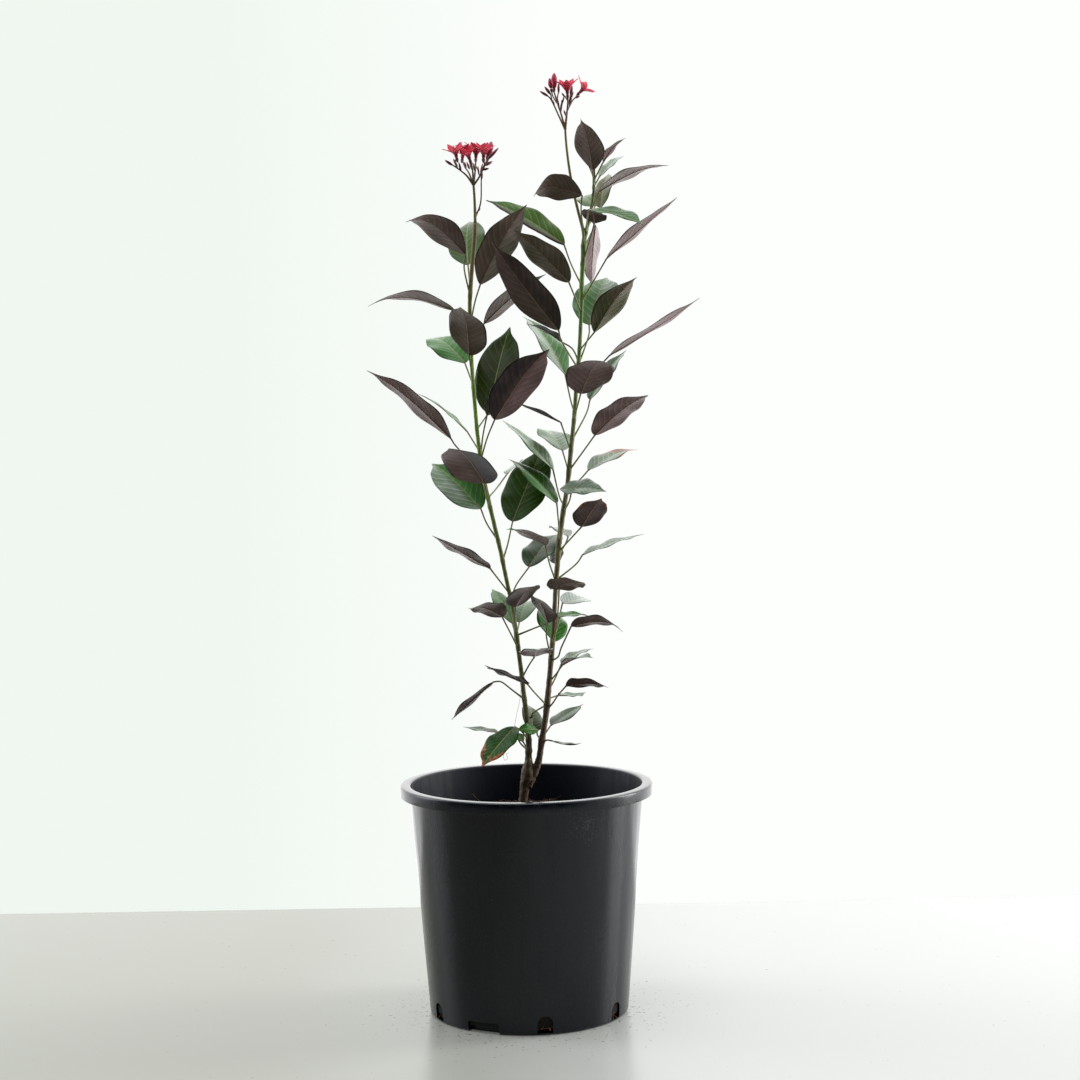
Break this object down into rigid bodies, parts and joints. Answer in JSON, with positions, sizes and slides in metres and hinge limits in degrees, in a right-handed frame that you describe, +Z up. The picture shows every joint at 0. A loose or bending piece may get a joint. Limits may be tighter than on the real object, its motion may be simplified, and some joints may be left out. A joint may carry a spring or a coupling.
{
  "type": "potted jatropha",
  "caption": "Young jatropha shrub with slender leafy stems, pointed two-tone leaves and small heads of red flowers, growing in soil in a round black nursery pot.",
  "frame": {"origin": "centre of the pot's underside, in the plane that it stands on", "axes": "+Z up along the pot's axis; the side that faces the viewer is -Y, with +X to the viewer's right"},
  "size_m": [0.3862, 0.3, 1.1113],
  "materials": {
    "pot_plastic": "black moulded polypropylene, satin, a little dusty and scuffed",
    "soil": "damp dark brown potting mix of bark, coir and peat, crumbly",
    "foliage": "leathery leaves, deep green above and purple-brown beneath, with pale veins, on olive stems that turn to grey-brown bark lower down",
    "flower_stalk": "dark maroon stalks and closed buds on an olive flower stem",
    "petal": "thin crimson petals, lighter at the throat, satin"
  },
  "bodies": {
    "root": {"nursery_pot": "pot_plastic", "potting_soil": "soil", "left_leafy_stem": "foliage", "right_leafy_stem": "foliage", "left_flower_head": "flower_stalk", "right_flower_head": "flower_stalk", "left_bloom_1": "petal", "left_bloom_2": "petal", "left_bloom_3": "petal", "left_bloom_4": "petal", "left_bloom_5": "petal", "right_bloom_1": "petal", "right_bloom_2": "petal", "left_red_bud": "petal", "right_red_bud_1": "petal", "right_red_bud_2": "petal"}
  },
  "joints": []
}
